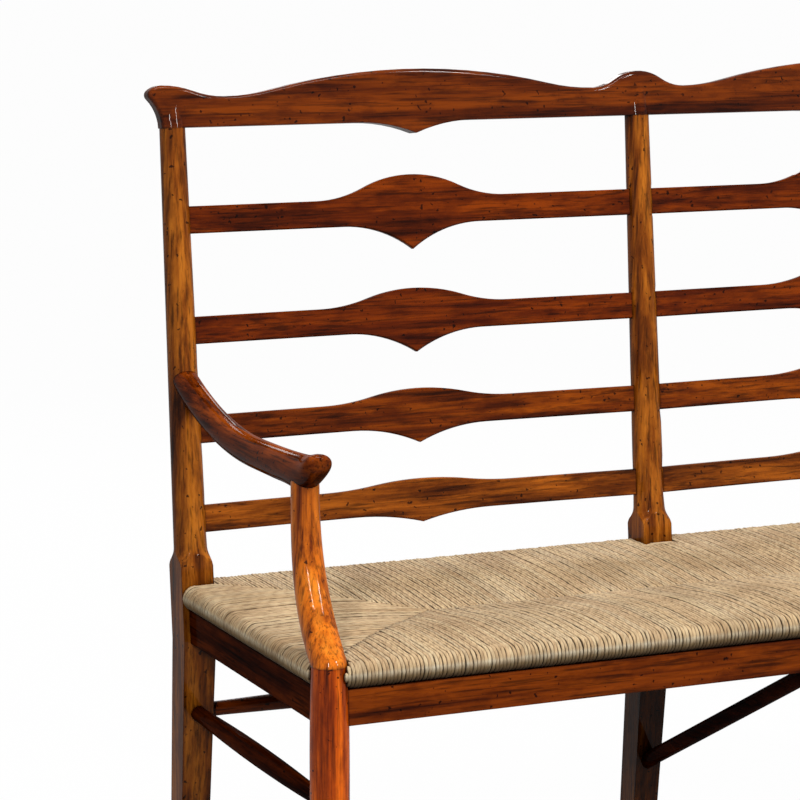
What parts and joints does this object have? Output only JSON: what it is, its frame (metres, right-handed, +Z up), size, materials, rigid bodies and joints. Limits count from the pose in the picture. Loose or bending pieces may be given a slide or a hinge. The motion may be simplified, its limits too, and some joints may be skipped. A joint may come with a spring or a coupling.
{
  "type": "ladder-back bench",
  "caption": "Farmhouse bench with arms: turned posts, a shaped ladder back and crest rail, bowed slats, swept arm supports and a woven rush seat.",
  "frame": {"origin": "on the floor, under the middle of the bounding box", "axes": "+X along the bench to the sitter's left, +Y to the back, +Z up"},
  "size_m": [1.3232, 0.523, 1.0682],
  "materials": {
    "walnut": "glazed and polished, satin gloss",
    "rush": "matte twisted rush"
  },
  "bodies": {
    "root": {"centre_back_post": "walnut", "centre_brace": "walnut", "crest_rail": "walnut", "front_apron": "walnut", "front_seat_rail": "walnut", "front_stretcher": "walnut", "left_arm": "walnut", "left_arm_support": "walnut", "left_back_apron": "walnut", "left_back_post": "walnut", "left_back_seat_rail": "walnut", "left_back_stretcher": "walnut", "left_front_leg": "walnut", "left_low_stretcher": "walnut", "left_seat_rail": "walnut", "left_side_apron": "walnut", "left_side_stretcher": "walnut", "left_slat_1": "walnut", "left_slat_2": "walnut", "left_slat_3": "walnut", "left_slat_4": "walnut", "right_arm": "walnut", "right_arm_support": "walnut", "right_back_apron": "walnut", "right_back_post": "walnut", "right_back_seat_rail": "walnut", "right_back_stretcher": "walnut", "right_front_leg": "walnut", "right_low_stretcher": "walnut", "right_seat_rail": "walnut", "right_side_apron": "walnut", "right_side_stretcher": "walnut", "right_slat_1": "walnut", "right_slat_2": "walnut", "right_slat_3": "walnut", "right_slat_4": "walnut", "rush_seat": "rush"}
  },
  "joints": []
}
